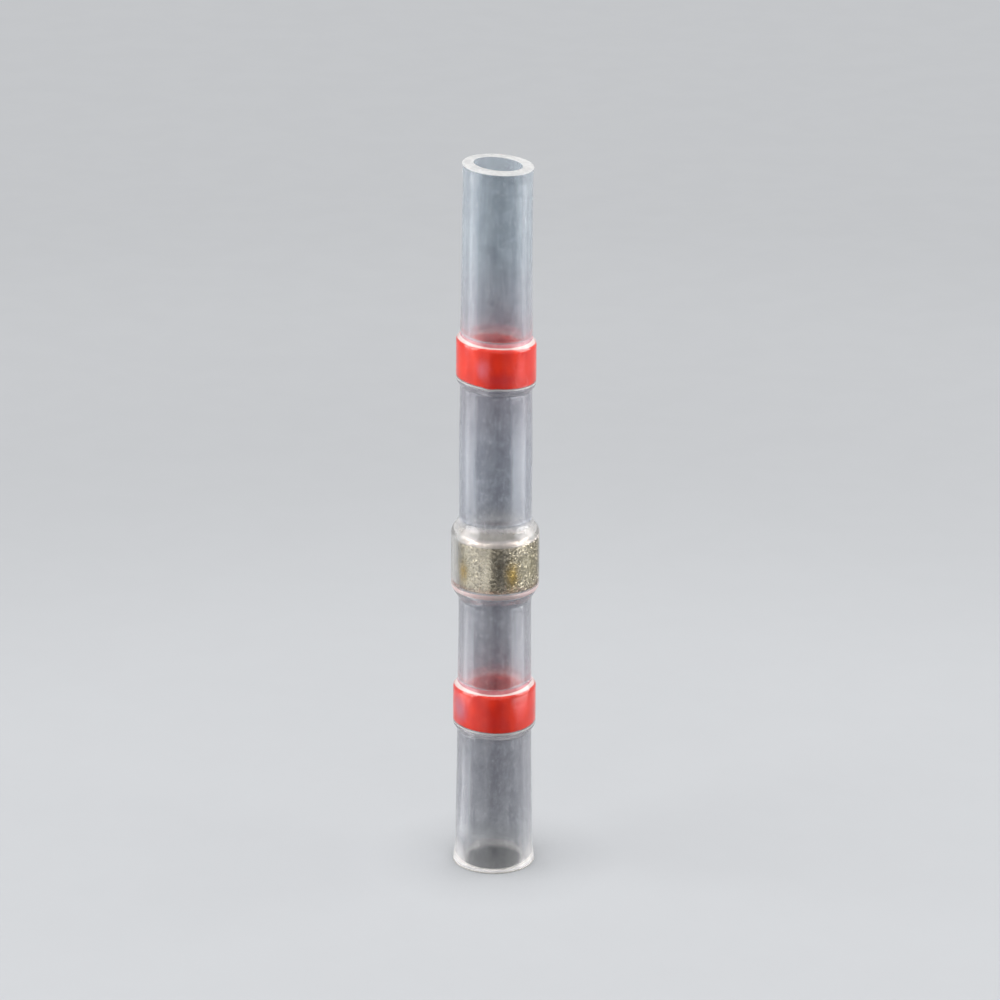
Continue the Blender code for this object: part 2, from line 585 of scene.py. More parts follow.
@dataclass(frozen=True)
class PaleTabletop:
    """The plain pale surface that the connector stands on.

    Attributes:
        name: the material's name.
        tone: how pale it looks away from any lamp.
        grain: its slight unevenness.
        uneven: how pale the darker parts of the grain are.
        shaded: how much of its light comes from the lamps and so holds shadows.
        glow: how much of its light is its own, near the connector.
        far_glow: how much of its light is its own where no lamp light counts.
        lit_reach: how far from the connector lamp light starts and stops fading.
        nook: how far from what stands on it the contact shadow reaches.
        darkest: how much light is left where the contact shadow is deepest.
    """

    name: str = "pale_tabletop"
    tone: Colour = linear("D4D6D9")
    grain: Pattern = Pattern((260.0,) * 3, 3.0, 0.6)
    uneven: float = 0.985
    shaded: float = 0.38
    glow: float = 0.57
    far_glow: float = 0.85
    lit_reach: tuple[float, float] = (0.03, 0.13)
    nook: float = 0.005
    darkest: float = 0.05

    def material(self) -> bpy.types.Material:
        """Build the material."""
        sheet = NodeSheet(self.name)
        grain = sheet.span(sheet.noise(self.grain), *MOST_OF_NOISE)
        pale = sheet.blend(grain, self.tone, dimmed(self.tone, self.uneven))
        open_sky = sheet.add("ShaderNodeAmbientOcclusion", {"Distance": self.nook}, samples=4)
        shade = sheet.span(open_sky.outputs["AO"], 0.0, 1.0, self.darkest, 1.0)
        far = sheet.span(sheet.away_from(), *self.lit_reach)
        near_tone = sheet.blend(shade, BLACK, dimmed(self.tone, self.shaded))
        lit = sheet.add("ShaderNodeBsdfDiffuse", {"Color": sheet.blend(far, near_tone, BLACK)})
        own = sheet.span(far, 0.0, 1.0, self.glow, self.far_glow)
        strength = sheet.reckon("MULTIPLY", sheet.seen(), shade, own)
        glow = sheet.add("ShaderNodeEmission", {"Color": pale, "Strength": strength})
        both = sheet.add("ShaderNodeAddShader", {0: lit.outputs[0], 1: glow.outputs[0]})
        return sheet.finish(both.outputs[0])


def short_way(degrees: Array) -> Array:
    """Turn angles into the same ones between -180 and 180 degrees."""
    return (degrees + 180.0) % 360.0 - 180.0


@dataclass(frozen=True)
class Wave:
    """A gentle unevenness round a ring.

    Attributes:
        height: how far it rises and falls.
        turns: how many times it does so round the ring.
        crest: the angle of a crest.
    """

    height: float
    turns: int
    crest: float

    def at(self, angles: Array) -> Array:
        """How far it stands up at some angles, which are in radians."""
        return self.height * np.cos(self.turns * (angles - math.radians(self.crest)))


@dataclass(frozen=True)
class Nick:
    """A small local rise or dip in an edge.

    Attributes:
        height: how far it rises, or dips if it is below 0.
        middle: its angle.
        spread: half its width.
    """

    height: float
    middle: float
    spread: float

    def at(self, angles: Array) -> Array:
        """How far it stands up at some angles, which are in radians."""
        away = short_way(np.degrees(angles) - self.middle)
        return self.height * np.exp(-(away / self.spread) ** 2)


@dataclass(frozen=True)
class Touch:
    """A place where the solder fills the gap to the sleeve, so that no air is between.

    Attributes:
        azimuth: where it is.
        half_angle: half its width.
        height: how high its middle is.
        half_height: half its height.
        reach: how far the solder stands out there.
    """

    azimuth: float
    half_angle: float
    height: float
    half_height: float
    reach: float = 0.00007

    def at(self, angles: Array, heights: Array) -> Array:
        """How far the solder stands out at some angles, in radians, and heights."""
        across = short_way(np.degrees(angles) + 90.0 - self.azimuth) / self.half_angle
        up = (heights - self.height) / self.half_height
        return self.reach * np.exp(-(across ** 4 + up ** 4))


@dataclass(frozen=True)
class SkinBand:
    """A stretch of the sleeve's skin beside a ring, with a finish of its own.

    Attributes:
        face: its finish.
        above: whether it lies above the ring's upper end, or else below its lower end.
        start: how far from that end it starts.
        stop: how far from that end it stops.
        side_highlight_widening: how much wider it gets towards the left and right sides, as a painted
            highlight of the side lamps on the bend.
    """

    face: WallFace
    above: bool
    start: float
    stop: float
    side_highlight_widening: float = 0.0

    def widening(self, end: float, heights: Array) -> Array:
        """How far the skin's finishes are moved up at the sides, to make room for the band's painted
        side highlight.

        Args:
            end: height of the ring's end that it lies beside.
            heights: heights on the skin.

        Returns:
            How far.
        """
        way = 1 if self.above else -1
        fade = 3 * self.side_highlight_widening
        edges = (self.start - fade, self.start, self.stop, self.stop + fade)
        moves = (0.0, -0.25 * self.side_highlight_widening, 0.6 * self.side_highlight_widening, 0.0)
        return way * np.interp(way * (heights - end), edges, moves)


@dataclass(frozen=True)
class Swell:
    """A stretch where the sleeve stands a little wider or narrower than its even taper.

    Attributes:
        middle: height of its middle.
        reach: how far up and down it reaches.
        depth: how far it stands out, or in if it is below 0.
    """

    middle: float
    reach: float
    depth: float

    def at(self, height: Array) -> Array:
        """How far the sleeve stands out at some heights."""
        return self.depth * np.exp(-0.5 * ((height - self.middle) / self.reach) ** 2)


def ease(share: Array) -> Array:
    """A smooth step from 0 to 1 as the share goes from 0 to 1."""
    return (1 - np.cos(np.pi * np.clip(share, 0.0, 1.0))) / 2


def turned_mesh(name: str, radii: Array, heights: Array, angles: Array) -> bpy.types.Mesh:
    """Make a closed ring-shaped mesh from an outline turned round +Z.

    Args:
        name: the mesh's name.
        radii: radius of each outline point at each angle, outside first, from the top down.
        heights: height of the same points.
        angles: the angles, in radians.

    Returns:
        The mesh, smooth, with its faces pointing out.
    """
    points, spokes = radii.shape
    places = np.stack([radii * np.cos(angles), radii * np.sin(angles), heights], axis=-1)
    row = np.arange(points)[:, None]
    spoke = np.arange(spokes)[None, :]
    after, along = (row + 1) % points, (spoke + 1) % spokes
    corners = [ring * spokes + place
               for ring, place in ((row, spoke), (after, spoke), (after, along), (row, along))]
    faces = np.stack(np.broadcast_arrays(*corners), axis=-1).reshape(-1, 4)
    mesh = bpy.data.meshes.new(name)
    mesh.from_pydata(places.reshape(-1, 3).tolist(), [], faces.tolist())
    mesh.shade_smooth()
    return mesh


def link_new(name: str, data: bpy.types.ID) -> bpy.types.Object:
    """Put a mesh, a lamp or a camera in the scene.

    Args:
        name: the new object's name.
        data: the mesh, the lamp or the camera.

    Returns:
        The new object.
    """
    thing = bpy.data.objects.new(name, data)
    bpy.context.scene.collection.objects.link(thing)
    return thing


def flat_sheet(name: str, corners: list[Triple], finish: Finish) -> bpy.types.Object:
    """Put a flat sheet in the scene.

    Args:
        name: its name.
        corners: its corners, so that they go round to the left as seen from above.
        finish: what it is made of.

    Returns:
        The sheet's object.
    """
    mesh = bpy.data.meshes.new(name)
    mesh.from_pydata(corners, [], [tuple(range(len(corners)))])
    mesh.materials.append(finish.material())
    return link_new(name, mesh)


def add_piece(name: str, mesh: bpy.types.Mesh, node: str) -> bpy.types.Object:
    """Put a mesh in the scene in place of a solid.

    Args:
        name: the piece's name.
        mesh: its mesh.
        node: the node that it stands for.

    Returns:
        The new object.
    """
    piece = link_new(name, mesh)
    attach(piece, BODY)
    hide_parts(node)
    return piece


@dataclass
class HeldRing:
    """A ring that sits in a pocket of the sleeve.

    Attributes:
        node: the node that it stands for.
        piece: the piece's own name.
        wall: its thickness.
        edge: radius of its edges.
        shoulder: length over which the sleeve drops back beside it.
        upper_edge: unevenness of its upper edge.
        lower_edge: unevenness of its lower edge.
        patches: patches of another colour on it.
        bands: stretches of the sleeve beside it that have a finish of their own.
        clear_above: how far above the ring the sleeve stays clear.
        clear_below: how far below the ring the sleeve stays clear.
        base_edge: radius of its lower edges, or 0 where they are like the upper ones.
        spokes: how many faces it has round it.
        edge_steps: how many faces round off each edge.
        wall_steps: how many faces it has from edge to edge.
    """

    node: str
    piece: str
    wall: float
    edge: float
    shoulder: float
    upper_edge: tuple[Wave | Nick, ...] = ()
    lower_edge: tuple[Wave | Nick, ...] = ()
    patches: tuple[Patch, ...] = ()
    bands: tuple[SkinBand, ...] = ()
    clear_above: float = 0.00020
    clear_below: float = 0.00002
    base_edge: float = 0.0
    spokes: int = 192
    edge_steps: int = 5
    wall_steps: int = 14

    slot = Slot.SEAL

    def __post_init__(self) -> None:
        """Take the ring's place and size from its solid."""
        low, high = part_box(self.node)
        self.base = low.z
        self.top = high.z
        self.outer = (high.x - low.x) / 2

    def lift(self, angles: Array, height: Array) -> Array:
        """How far the ring's unevenness lifts its points.

        Args:
            angles: angles round it, in radians.
            height: heights before the lift.

        Returns:
            The lift at each height and angle.
        """
        share = np.clip((height - self.base) / (self.top - self.base), 0.0, 1.0)
        above = sum((wave.at(angles) for wave in self.upper_edge), np.zeros_like(angles))
        below = sum((wave.at(angles) for wave in self.lower_edge), np.zeros_like(angles))
        return share * above + (1 - share) * below

    def grip(self, height: Array) -> Array:
        """How fully the sleeve is held open: 1 on the ring, 0 past its shoulders."""
        away = np.maximum(self.base - height, height - self.top)
        return 1 - ease(away / self.shoulder)

    def outline(self) -> tuple[Array, Array]:
        """The ring's section, from its upper edge down the outside and up the inside.

        Returns:
            Radii and heights of its points.
        """
        edge = self.edge
        low = self.base_edge or edge
        inner = self.outer - self.wall
        middles = ((self.outer - edge, self.top - edge), (self.outer - low, self.base + low),
                   (inner + low, self.base + low), (inner + edge, self.top - edge))
        radii: list[float] = []
        heights: list[float] = []
        for turn, (across, up) in enumerate(middles):
            edge = low if turn in (1, 2) else self.edge
            first = math.pi / 2 * (1 - turn)
            arc = first - math.pi / 2 * np.linspace(0.0, 1.0, self.edge_steps + 1)
            radii += list(across + edge * np.cos(arc))
            heights += list(up + edge * np.sin(arc))
            if turn in (0, 2):
                steps = np.linspace(up, middles[turn + 1][1], self.wall_steps + 1)[1:-1]
                radii += [radii[-1]] * len(steps)
                heights += list(steps)
        return np.array(radii), np.array(heights)

    def outside(self) -> Array:
        """Whether each outline point is on the ring's outside, as a column."""
        across, _ = self.outline()
        return (across > self.outer - self.wall / 2)[:, None]

    def relief(self, angles: Array, heights: Array) -> Array:
        """How far the surface stands out from a true ring."""
        return np.zeros((len(heights), len(angles)))

    def finish(self) -> Finish:
        """What the ring is made of."""
        return MeltAdhesive(f"{self.piece}_adhesive", self.outer, self.patches)

    def build(self) -> bpy.types.Object:
        """Model the ring and give it its finish.

        Returns:
            The ring's object.
        """
        angles = np.arange(self.spokes) * FULL_TURN / self.spokes
        across, up = self.outline()
        radii = across[:, None] + self.relief(angles, up)
        heights = up[:, None] + self.lift(angles[None, :], up[:, None])
        mesh = turned_mesh(self.piece, radii, heights, angles)
        mesh.materials.append(self.finish().material())
        return add_piece(self.piece, mesh, self.node)


@dataclass
class SealRing(HeldRing):
    """A waxy ring of red adhesive, wetted to the sleeve round it.

    Attributes:
        wetted: how far its outside presses into the sleeve's lining, so that no air is between.
        waviness: how far its inside rises and falls.
    """

    wall: float = 0.00028
    edge: float = 0.00009
    shoulder: float = 0.00050
    wetted: float = 0.00006
    waviness: float = 0.000008

    def relief(self, angles: Array, heights: Array) -> Array:
        """How far the surface stands out: pressed to the sleeve, with three slow waves inside."""
        waves = self.waviness * np.cos(3 * angles + 1.1)[None, :]
        return np.where(self.outside(), self.wetted, waves)


@dataclass
class SolderRing(HeldRing):
    """A cast ring of solder, with a film of air between it and part of the sleeve.

    Attributes:
        grain: depth of its cast grain.
        grain_seed: seed of the grain's random draw.
        touches: where it touches the sleeve.
    """

    grain: float = 0.000004
    grain_seed: int = 41
    touches: tuple[Touch, ...] = ()

    slot = Slot.SOLDER

    def relief(self, angles: Array, heights: Array) -> Array:
        """How far the surface stands out.

        Args:
            angles: angles round the ring, in radians.
            heights: heights of the outline points.

        Returns:
            The cast grain and, outside, the places that touch the sleeve.
        """
        draws = np.random.default_rng(self.grain_seed)
        grain = draws.normal(0.0, self.grain, (len(heights), len(angles)))
        touching = [touch.at(angles[None, :], heights[:, None]) for touch in self.touches]
        return grain + np.where(self.outside(), np.maximum.reduce(touching), 0.0)

    def finish(self) -> Finish:
        """What the ring is made of."""
        return CastSolder(self.outer, self.top, self.patches)


@dataclass
class Sleeve:
    """The tube that is shrunk over the rings.

    Attributes:
        rings: the rings that it holds.
        node: the node that it stands for.
        piece: the piece's own name.
        bore_at_rim: inside diameter at the upper end.
        bore_at_foot: inside diameter at the lower end.
        wall_at_rim: wall at the upper end.
        rim_flare: how far the cut upper edge stands out, over rim_flare_length.
        foot_flare: how far the cut lower edge stands out, over foot_flare_length.
        clearance: between a ring and its pocket.
        cut_edge: radius of the cut edges.
        whitened: how far up from the foot the knife has whitened the wall.
        whitened_and_flare_behind: how much further up the lining is whitened at the back, partly the
            whitened cut and partly a painted flare seen through the front wall.
        rim_slant: how much lower the rim is on the right than on the left.
        rim_bevel: how far the front of the rim's cut drops from its inner to its outer edge.
        slant_reach: how far down from the rim the slant fades out.
        bow: how far the rim leans to the right, over bow_length.
        swells: where it stands wider or narrower than its taper.
        spokes: how many faces it has round it.
        spacing: how far apart its sections are where it is straight.
        closest: how close two sections may be.
        crease: the angle at which two of its faces meet in a sharp edge.
    """

    rings: tuple[HeldRing, ...]
    node: str = "heat_shrink_sleeve"
    piece: str = "clear_sleeve"
    bore_at_rim: float = 0.00262
    bore_at_foot: float = 0.00320
    wall_at_rim: float = 0.00056
    rim_flare: float = 0.00004
    rim_flare_length: float = 0.0009
    foot_flare: float = 0.000135
    foot_flare_length: float = 0.0014
    clearance: float = 0.00003
    cut_edge: float = 0.00003
    whitened: float = 0.00008
    whitened_and_flare_behind: float = 0.00034
    rim_slant: float = 0.00024
    rim_bevel: float = 0.00010
    slant_reach: float = 0.0016
    bow: float = 0.00005
    bow_length: float = 0.010
    swells: tuple[Swell, ...] = (
        Swell(0.0015, 0.0030, 0.00007), Swell(0.0140, 0.0015, -0.00002),
        Swell(0.0246, 0.0017, 0.00005), Swell(0.0310, 0.0006, 0.00003))
    spokes: int = 160
    spacing: float = 0.00045
    closest: float = 0.00002
    crease: float = 50.0

    def __post_init__(self) -> None:
        """Take the sleeve's place and length from its solid."""
        low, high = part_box(self.node)
        self.foot = low.z
        self.rim = high.z

    def bore(self, height: Array) -> Array:
        """Radius of the even taper inside, with its swells."""
        share = (height - self.foot) / (self.rim - self.foot)
        even = (self.bore_at_foot + (self.bore_at_rim - self.bore_at_foot) * share) / 2
        return even + sum(swell.at(height) for swell in self.swells)

    def lining(self, height: Array) -> Array:
        """Radius of the sleeve's inside, draped round its rings."""
        bore = self.bore(height)
        held = [bore + (ring.outer + self.clearance - bore) * ring.grip(height) for ring in self.rings]
        return np.maximum.reduce(held)

    def skin(self, height: Array) -> Array:
        """Radius of the sleeve's outside, which thins where it is held wider."""
        inner = self.bore_at_rim / 2
        section = (inner + self.wall_at_rim) ** 2 - inner ** 2
        near_foot = np.clip(1 - (height - self.foot) / self.foot_flare_length, 0.0, 1.0)
        near_rim = np.clip(1 - (self.rim - height) / self.rim_flare_length, 0.0, 1.0)
        flare = self.foot_flare * near_foot ** 2 + self.rim_flare * near_rim ** 2
        return np.sqrt(self.lining(height) ** 2 + section) + flare

    def rounding(self, height: Array) -> Array:
        """How far the rounded cut edges draw in from the wall's faces."""
        to_end = np.minimum(height - self.foot, self.rim - height)
        short = np.clip(self.cut_edge - to_end, 0.0, self.cut_edge)
        return self.cut_edge - np.sqrt(self.cut_edge ** 2 - short ** 2)

    def stations(self) -> Array:
        """Heights at which the sleeve's section is taken, closer together where it bends."""
        heights = [self.foot + self.whitened, *np.arange(self.foot, self.rim, self.spacing)]
        for ring in self.rings:
            for end, way in ((ring.base, -1), (ring.top, 1)):
                heights += list(end + way * ring.shoulder * np.linspace(-0.25, 1.15, 22))
        heights += list(self.foot + self.foot_flare_length * np.linspace(0, 1, 9))
        heights += list(self.rim - self.rim_flare_length * np.linspace(0, 1, 7))
        clear_of_ends = [h for h in heights if self.foot + self.cut_edge < h < self.rim - self.cut_edge]
        kept = []
        for height in sorted(clear_of_ends):
            if not kept or height - kept[-1] > self.closest:
                kept.append(height)
        corner = self.cut_edge * (1 - np.cos(np.linspace(0.0, math.pi / 2, 4)))
        return np.concatenate([self.foot + corner, kept, self.rim - corner[::-1]])

    def lift(self, angles: Array, heights: Array, outside: Array) -> Array:
        """How far the wall's points are lifted, by its rings' unevenness and by the slanted cut.

        Args:
            angles: angles round the sleeve, in radians.
            heights: height of each outline point, as a column.
            outside: whether each outline point is on the skin, as a column.

        Returns:
            The lift of each point at each angle.
        """
        total = np.zeros((len(heights), angles.shape[1]))
        for ring in self.rings:
            away = np.maximum(ring.base - heights, heights - ring.top) / (3 * ring.shoulder)
            total += (1 - ease(away)) * ring.lift(angles, heights)
        near_rim = ease(1 - (self.rim - heights) / self.slant_reach)
        slant = self.rim_slant / 2 * (1 + np.cos(angles))
        bevel = self.rim_bevel / 2 * (1 - np.sin(angles))
        return total - near_rim * (slant + np.where(outside, bevel, 0.0))

    def fringe(self, angles: Array, heights: Array, outside: Array) -> Array:
        """How far the edges of the wall's finishes run up or down, while its shape stays.

        Args:
            angles: angles round the sleeve, in radians.
            heights: height of each outline point, as a column.
            outside: whether each outline point is on the skin, as a column.

        Returns:
            How far each point is moved along the wall.
        """
        line = self.foot + self.whitened
        fade = line + 3 * self.whitened_and_flare_behind
        near_foot = np.interp(heights, (self.foot + self.cut_edge, line, fade), (0.0, 1.0, 0.0))
        # The lining's whitening reaches further up at the back: partly the cut, partly a painted flare.
        inside = self.whitened_and_flare_behind / 2 * (1 + np.sin(angles))
        skin = np.zeros_like(heights)
        for ring in self.rings:
            for band in ring.bands:
                # Bands with a painted side highlight widen towards the left and right.
                if band.side_highlight_widening:
                    skin += band.widening(ring.top if band.above else ring.base, heights)
        return np.where(outside, skin * np.cos(angles) ** 2, near_foot * inside)

    def build(self) -> bpy.types.Object:
        """Model the sleeve and give it its finishes.

        Returns:
            The sleeve's object.
        """
        angles = (np.arange(self.spokes) * FULL_TURN / self.spokes)[None, :]
        stations = self.stations()
        down = stations[::-1]
        up = np.concatenate([down, stations])[:, None]
        outside = np.arange(len(up))[:, None] < len(down)
        along = up + self.fringe(angles, up, outside)
        across = np.where(outside, self.skin(along) - self.rounding(along),
                          self.lining(along) + self.rounding(along))
        heights = along + self.lift(angles, along, outside)
        mesh = turned_mesh(self.piece, across, heights, angles[0])
        for face in WallFace:
            mesh.materials.append(face.value.material())
        self.mark_faces(mesh, up[:, 0], len(down))
        self.lean(mesh)
        return add_piece(self.piece, mesh, self.node)

    def lean(self, mesh: bpy.types.Mesh) -> None:
        """Lean the sleeve's upper end a little to the right."""
        for vertex in mesh.vertices:
            along = max(vertex.co.z - (self.rim - self.bow_length), 0.0) / self.bow_length
            vertex.co.x += self.bow * along ** 2

    def face_at(self, height: float, outside: bool) -> WallFace:
        """Tell which face of the wall is at a height.

        Args:
            height: the height.
            outside: whether it is on the skin, or else on the lining.

        Returns:
            The face.
        """
        if height < self.foot + self.whitened or height > self.rim - self.cut_edge:
            return WallFace.CUT if height > self.foot else WallFace.STANDING_CUT
        held = any(ring.base - ring.clear_below < height < ring.top + ring.clear_above
                   for ring in self.rings)
        if not outside:
            return WallFace.HELD_LINING if held else WallFace.FREE_LINING
        for ring in self.rings:
            for band in ring.bands:
                away = height - ring.top if band.above else ring.base - height
                if band.start <= away <= band.stop:
                    return band.face
        return WallFace.HELD_SKIN if held else WallFace.FREE_SKIN

    def mark_faces(self, mesh: bpy.types.Mesh, heights: Array, outside: int) -> None:
        """Tell the skin, the lining and the cut ends apart, and what is held from what is free.

        Args:
            mesh: the sleeve's mesh.
            heights: height of each outline point, outside first, from the top down.
            outside: how many outline points the outside has.
        """
        order = list(WallFace)
        middles = (heights + np.roll(heights, -1)) / 2
        rows = [order.index(self.face_at(middle, row < outside)) for row, middle in enumerate(middles)]
        mesh.polygons.foreach_set("material_index", np.repeat(rows, self.spokes).astype(np.int32))
        mesh.set_sharp_from_angle(angle=math.radians(self.crease))


@dataclass
class Connector:
    """The whole connector: its rings and the sleeve round them."""

    def __post_init__(self) -> None:
        """Lay out the rings."""
        # Lavender, mauve and pink are painted highlights of the softboxes on the seal rings.
        lavender_painted_highlight = linear("C66C7C")
        mauve_painted_highlight = linear("A06478")
        pink_painted_highlight = linear("E8504A")
        wine = linear("A8242A")
        amber = linear("A08536")
        # On the solder: the olive tone is painted shade and dark reflection, on the right partly a flux
        # film; the near-black is a painted dark reflection down the front; the bright cream is a
        # painted highlight.
        olive_painted_shade = linear("86826A")
        dark_painted_reflection = linear("46443F")
        bright = linear("F2ECDD")
        bends = (SkinBand(WallFace.WHITENED_AND_PAINTED_HIGHLIGHT_SKIN, True, 0.00020, 0.00027, side_highlight_widening=0.00020),
                 SkinBand(WallFace.PAINTED_RED_GLOW_SKIN, True, 0.00027, 0.00048),
                 SkinBand(WallFace.WHITENED_AND_PAINTED_HIGHLIGHT_SKIN, False, -0.00010, -0.00003),
                 SkinBand(WallFace.HAZY_SKIN, False, -0.00003, 0.00030))
        self.upper_seal = SealRing(
            node="upper_seal_ring", piece="red_seal_upper",
            upper_edge=(Wave(0.00014, 1, 180.0), Wave(0.00002, 3, 40.0)),
            lower_edge=(Wave(0.00014, 1, 180.0), Nick(-0.00006, 258.0, 9.0)),
            # Painted highlights at the left and right, and a darker red patch low on the front.
            patches=(Patch(lavender_painted_highlight, -23.0, 0.02920, 0.00034, 0.00055, 0.55),
                     Patch(pink_painted_highlight, 46.0, 0.02915, 0.00025, 0.00090, 0.5),
                     Patch(wine, 12.0, 0.02855, 0.00080, 0.00040, 0.7)),
            bands=bends)
        self.solder = SolderRing(
            node="solder_ring", piece="cast_solder_ring", wall=0.00050, edge=0.00022, shoulder=0.00100,
            base_edge=0.00010, touches=(Touch(75.0, 66.0, 0.0178, 0.0022),),
            # Olive patches are painted shade, the near-black one a painted reflection and the cream one
            # a painted highlight; the amber ones are flux.
            patches=(Patch(olive_painted_shade, 58.0, 0.01780, 0.00110, 0.00140, 0.75),
                     Patch(olive_painted_shade, -84.0, 0.01780, 0.00080, 0.00160, 0.8),
                     Patch(olive_painted_shade, -49.0, 0.01770, 0.00045, 0.00130, 0.6),
                     Patch(bright, -11.0, 0.01785, 0.00024, 0.00140, 0.7),
                     Patch(dark_painted_reflection, 8.0, 0.01785, 0.00042, 0.00150, 0.85),
                     Patch(amber, -55.0, 0.01744, 0.00036, 0.00062, 0.9),
                     Patch(amber, 26.0, 0.01750, 0.00038, 0.00080, 0.9)),
            bands=(SkinBand(WallFace.DOMED_SKIN, True, -0.00010, 0.00090),
                   SkinBand(WallFace.PINK_BAND_SKIN, False, -0.00006, 0.00020)),
            clear_above=0.00044, clear_below=0.00030)
        self.lower_seal = SealRing(
            node="lower_seal_ring", piece="red_seal_lower",
            upper_edge=(Wave(0.00003, 1, 0.0), Wave(0.00002, 3, 100.0)),
            lower_edge=(Wave(0.00004, 2, 30.0),),
            # Painted highlights at the left and right, and a darker red patch low on the front.
            patches=(Patch(mauve_painted_highlight, -66.0, 0.00930, 0.00055, 0.00075, 0.85),
                     Patch(pink_painted_highlight, 46.0, 0.00955, 0.00035, 0.00070, 0.5),
                     Patch(wine, 2.0, 0.00885, 0.00070, 0.00040, 0.3)),
            bands=bends)
        self.sleeve = Sleeve(rings=(self.lower_seal, self.solder, self.upper_seal))

    def build(self) -> None:
        """Model every piece, the inner ones first."""
        for part in (self.lower_seal, self.solder, self.upper_seal, self.sleeve):
            piece = part.build()
            log.info("%s: %d faces", piece.name, len(piece.data.polygons))


@dataclass(frozen=True)
class PhotoCamera:
    """The camera, as it stood for the photograph.

    Attributes:
        distance: from the connector's axis, over the table.
        height: above the table.
        aside: to the right of the connector's axis.
        pitch: how far it looks down.
        roll: how far it leans to the left.
        lens: focal length in millimetres.
        sensor: width of the sensor in millimetres.
        clip: how near and how far it sees.
    """

    distance: float = 0.237
    height: float = 0.108
    aside: float = 0.000245
    pitch: float = 20.12
    roll: float = 0.335
    lens: float = 167.76
    sensor: float = 36.0
    clip: tuple[float, float] = (0.01, 10.0)

    def place(self) -> None:
        """Add the camera and look through it."""
        data = bpy.data.cameras.new("photo_camera")
        data.lens = self.lens
        data.sensor_width = self.sensor
        data.clip_start, data.clip_end = self.clip
        camera = link_new("photo_camera", data)
        stand = Matrix.Translation((self.aside, -self.distance, self.height))
        tip = Matrix.Rotation(math.radians(90 - self.pitch), 4, "X")
        camera.matrix_world = stand @ tip @ Matrix.Rotation(math.radians(self.roll), 4, "Z")
        bpy.context.scene.camera = camera


@dataclass(frozen=True)
class SoftLamp:
    """A softbox that faces the connector.

    Attributes:
        name: the lamp's name.
        side: where it stands.
        elevation: how high it stands.
        distance: how far it is from the connector's middle.
        width: its width.
        tall: its height.
        watts: its power.
    """

    name: str
    side: Side
    elevation: float
    distance: float
    width: float
    tall: float
    watts: float

    def place(self, target: Vector) -> None:
        """Add the lamp, facing a point.

        Args:
            target: the point.
        """
        data = bpy.data.lights.new(self.name, "AREA")
        data.shape = "RECTANGLE"
        data.size = self.width
        data.size_y = self.tall
        data.energy = self.watts
        lamp = link_new(self.name, data)
        turn, rise = math.radians(self.side.value), math.radians(self.elevation)
        level = math.cos(rise)
        way = Vector((math.sin(turn) * level, -math.cos(turn) * level, math.sin(rise)))
        lamp.location = target + way * self.distance
        lamp.rotation_mode = "QUATERNION"
        lamp.rotation_quaternion = way.to_track_quat("Z", "Y")
        lamp.visible_camera = False


@dataclass(frozen=True)
class FloorCard:
    """A card that lies round the connector, seen in its gloss and, in part, through it.

    Attributes:
        name: the card's name.
        tone: its colour.
        start: azimuth of its left side.
        stop: azimuth of its right side.
        near: how close to the connector's axis it starts.
        far: how far it reaches.
        glow: how brightly it is lit from within, or 0 for a plain card.
        through: how much of it is seen through the sleeve.
        above: how far above the table it lies.
        soft: how far in from its sides it fades.
        soft_ends: how far in from its ends it fades.
        grain: its slight unevenness.
        uneven: how bright the darker parts of the grain are.
        steps: how many points each of its curved ends has.
    """

    name: str
    tone: Colour
    start: float
    stop: float
    near: float
    far: float
    glow: float
    through: float
    above: float
    soft: float = 20.0
    soft_ends: float = 0.002
    grain: Pattern = Pattern((900.0,) * 3)
    uneven: float = 0.9
    steps: int = 9

    def place(self) -> None:
        """Add the card, which is hidden from the camera, throws no shadow and lights nothing."""
        turns = np.radians(np.linspace(self.start, self.stop, self.steps))
        corners = [(radius * math.sin(turn), -radius * math.cos(turn), self.above)
                   for radius, side in ((self.far, turns), (self.near, turns[::-1])) for turn in side]
        card = flat_sheet(self.name, corners, self)
        card.visible_camera = False
        card.visible_diffuse = False
        card.visible_shadow = False

    def material(self) -> bpy.types.Material:
        """Build the card's material, which has its tone above and is not there below."""
        sheet = NodeSheet(self.name)
        tone = sheet.blend(sheet.noise(self.grain), self.tone, dimmed(self.tone, self.uneven))
        shader = sheet.principled(Base_Color=tone, Roughness=0.8, Emission_Color=tone,
                                  Emission_Strength=self.glow)
        turn = sheet.reckon("ARCTAN2", sheet.across, sheet.reckon("MULTIPLY", sheet.back, -1.0))
        start, stop, soft = (math.radians(angle) for angle in (self.start, self.stop, self.soft))
        radius = sheet.away_from()
        sides = ((turn, start, start + soft), (turn, stop, stop - soft),
                 (radius, self.near, self.near + self.soft_ends),
                 (radius, self.far, self.far - self.soft_ends))
        past = sheet.add("ShaderNodeLightPath").outputs["Is Transmission Ray"]
        hidden = sheet.reckon("MULTIPLY", past, 1.0 - self.through)
        there = sheet.reckon("MULTIPLY", *(sheet.span(*side) for side in sides),
                             sheet.reckon("SUBTRACT", 1.0, hidden))
        below = sheet.add("ShaderNodeNewGeometry").outputs["Backfacing"]
        gone = sheet.reckon("MAXIMUM", below, sheet.reckon("SUBTRACT", 1.0, there))
        return sheet.finish(sheet.merge(gone, shader, sheet.clear()))


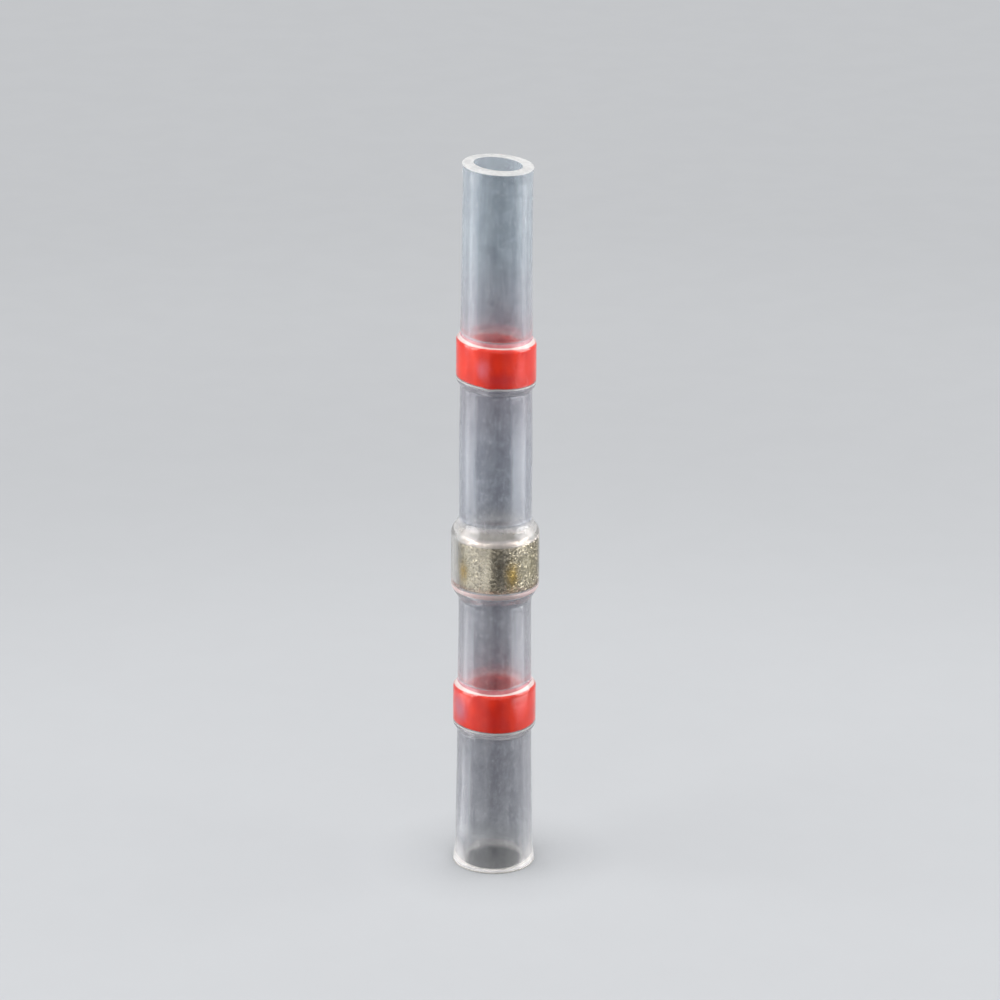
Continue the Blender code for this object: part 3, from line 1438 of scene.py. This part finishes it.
@dataclass
class Studio:
    """The table, the lamps and the pale surroundings.

    Attributes:
        table_radius: radius of the tabletop.
        table_gap: how far the tabletop lies below the connector.
        lowest_card: how far above the table the first card lies.
        card_gap: how far apart the cards lie.
        shown_through: how much of a glowing card is seen through the sleeve.
        fill: strength of the surroundings' own light.
        fill_tone: its colour.
    """

    table_radius: float = 1.2
    table_gap: float = 0.00001
    lowest_card: float = 0.0001
    card_gap: float = 0.00004
    shown_through: float = 0.25
    fill: float = 0.08
    fill_tone: Colour = (0.92, 0.96, 1.0)

    def build(self, target: Vector) -> None:
        """Set everything up round a point.

        Args:
            target: the connector's middle.
        """
        self.table()
        self.surroundings()
        self.cards()
        lamps = (
            SoftLamp("left_softbox", Side.LEFT, 30.0, 0.18, 0.14, 0.15, 0.35),
            SoftLamp("right_softbox", Side.RIGHT, 30.0, 0.18, 0.15, 0.15, 0.365),
            SoftLamp("top_softbox", Side.FRONT, 70.0, 0.26, 0.20, 0.20, 0.175),
        )
        for lamp in lamps:
            lamp.place(target)

    def cards(self) -> None:
        """Lay out the cards, which darken the gloss in front and brighten it at the sides."""
        black, grey, white = linear("1C1C1C"), linear("6E6E6E"), (0.95, 0.97, 1.0)
        layout = (
            (grey, 16.0, 68.0, 0.003, 0.30, 0.0),
            (black, -26.0, 32.0, 0.003, 0.30, 0.0),
            (grey, -144.0, -76.0, 0.040, 0.056, 0.0),
            (grey, 86.0, 154.0, 0.040, 0.056, 0.0),
            (black, 44.0, 94.0, 0.092, 0.124, 0.0),
            (white, -118.0, -58.0, 0.004, 0.018, 1.4),
            (white, -118.0, -56.0, 0.024, 0.041, 2.2),
            (white, -86.0, -16.0, 0.041, 0.056, 1.0),
            (white, -118.0, -56.0, 0.054, 0.081, 2.7),
            (white, -110.0, -54.0, 0.094, 0.145, 1.9),
            (white, 40.0, 112.0, 0.024, 0.041, 3.0),
            (white, 40.0, 116.0, 0.054, 0.081, 3.8),
            (white, 60.0, 118.0, 0.124, 0.150, 2.5),
        )
        for number, (tone, start, stop, near, far, glow) in enumerate(layout):
            through = self.shown_through if glow else 1.0
            above = self.lowest_card + self.card_gap * number
            FloorCard(f"card_{number}", tone, start, stop, near, far, glow, through, above).place()

    def table(self) -> None:
        """Add the tabletop as a wide disc."""
        rim = [(self.table_radius * math.cos(a), self.table_radius * math.sin(a), 0.0)
               for a in np.linspace(0, FULL_TURN, 97)[:-1]]
        top = flat_sheet("tabletop", rim, PaleTabletop())
        top.location.z = -self.table_gap

    def surroundings(self) -> None:
        """Give the world a pale look and a dim light of its own."""
        world = bpy.data.worlds.new("pale_room")
        tree = ShaderTree(world)
        dim = tree.add("ShaderNodeBackground", {"Color": self.fill_tone, "Strength": self.fill})
        pale = tree.add("ShaderNodeBackground", {"Color": PaleTabletop.tone})
        look = tree.merge(tree.seen(), dim.outputs[0], pale.outputs[0])
        tree.add("ShaderNodeOutputWorld", {"Surface": look})
        bpy.context.scene.world = world


def main() -> None:
    """Build the camera, the connector and the studio, in that order."""
    logging.basicConfig(level=logging.INFO, format="%(message)s")
    PhotoCamera().place()
    Connector().build()
    low, high = CAD_BOX
    Studio().build((low + high) / 2)
    bpy.context.scene.view_settings.view_transform = "Standard"


if __name__ == "__main__":
    main()
